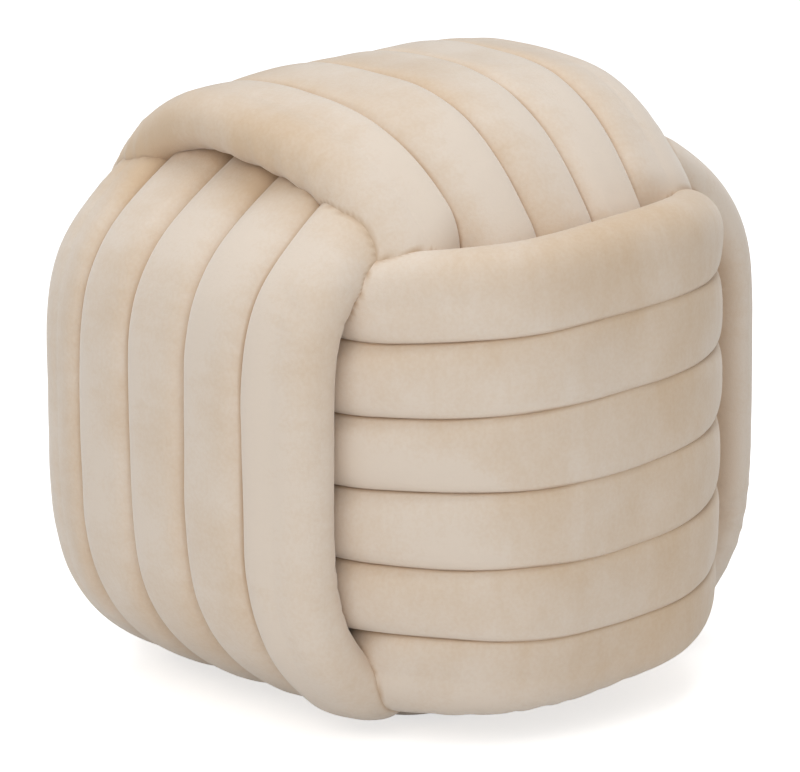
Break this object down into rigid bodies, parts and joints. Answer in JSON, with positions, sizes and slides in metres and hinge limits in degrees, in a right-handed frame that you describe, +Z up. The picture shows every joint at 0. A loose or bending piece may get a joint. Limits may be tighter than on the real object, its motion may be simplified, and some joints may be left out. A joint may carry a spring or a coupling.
{
  "type": "cube pouf",
  "caption": "Cube-shaped pouf of padded velvet tubes, laced in bands over and under each other like a large knot.",
  "frame": {"origin": "on the floor, under the middle of the pouf's bounding box", "axes": "+Z up; -Y out of the front band, whose tubes lie flat; +X to the right as seen from the front"},
  "size_m": [0.42, 0.4199, 0.3918],
  "materials": {
    "velvet": "soft cream velvet with a low sheen"
  },
  "bodies": {
    "root": {"top_tube_1": "velvet", "top_tube_2": "velvet", "top_tube_3": "velvet", "top_tube_4": "velvet", "top_tube_5": "velvet", "bottom_tube_1": "velvet", "bottom_tube_2": "velvet", "bottom_tube_3": "velvet", "bottom_tube_4": "velvet", "bottom_tube_5": "velvet", "front_tube_1": "velvet", "front_tube_2": "velvet", "front_tube_3": "velvet", "front_tube_4": "velvet", "front_tube_5": "velvet", "front_tube_6": "velvet", "back_tube_1": "velvet", "back_tube_2": "velvet", "back_tube_3": "velvet", "back_tube_4": "velvet", "back_tube_5": "velvet", "back_tube_6": "velvet", "left_tube_1": "velvet", "left_tube_2": "velvet", "left_tube_3": "velvet", "left_tube_4": "velvet", "left_tube_5": "velvet", "right_tube_1": "velvet", "right_tube_2": "velvet", "right_tube_3": "velvet", "right_tube_4": "velvet", "right_tube_5": "velvet"}
  },
  "joints": []
}
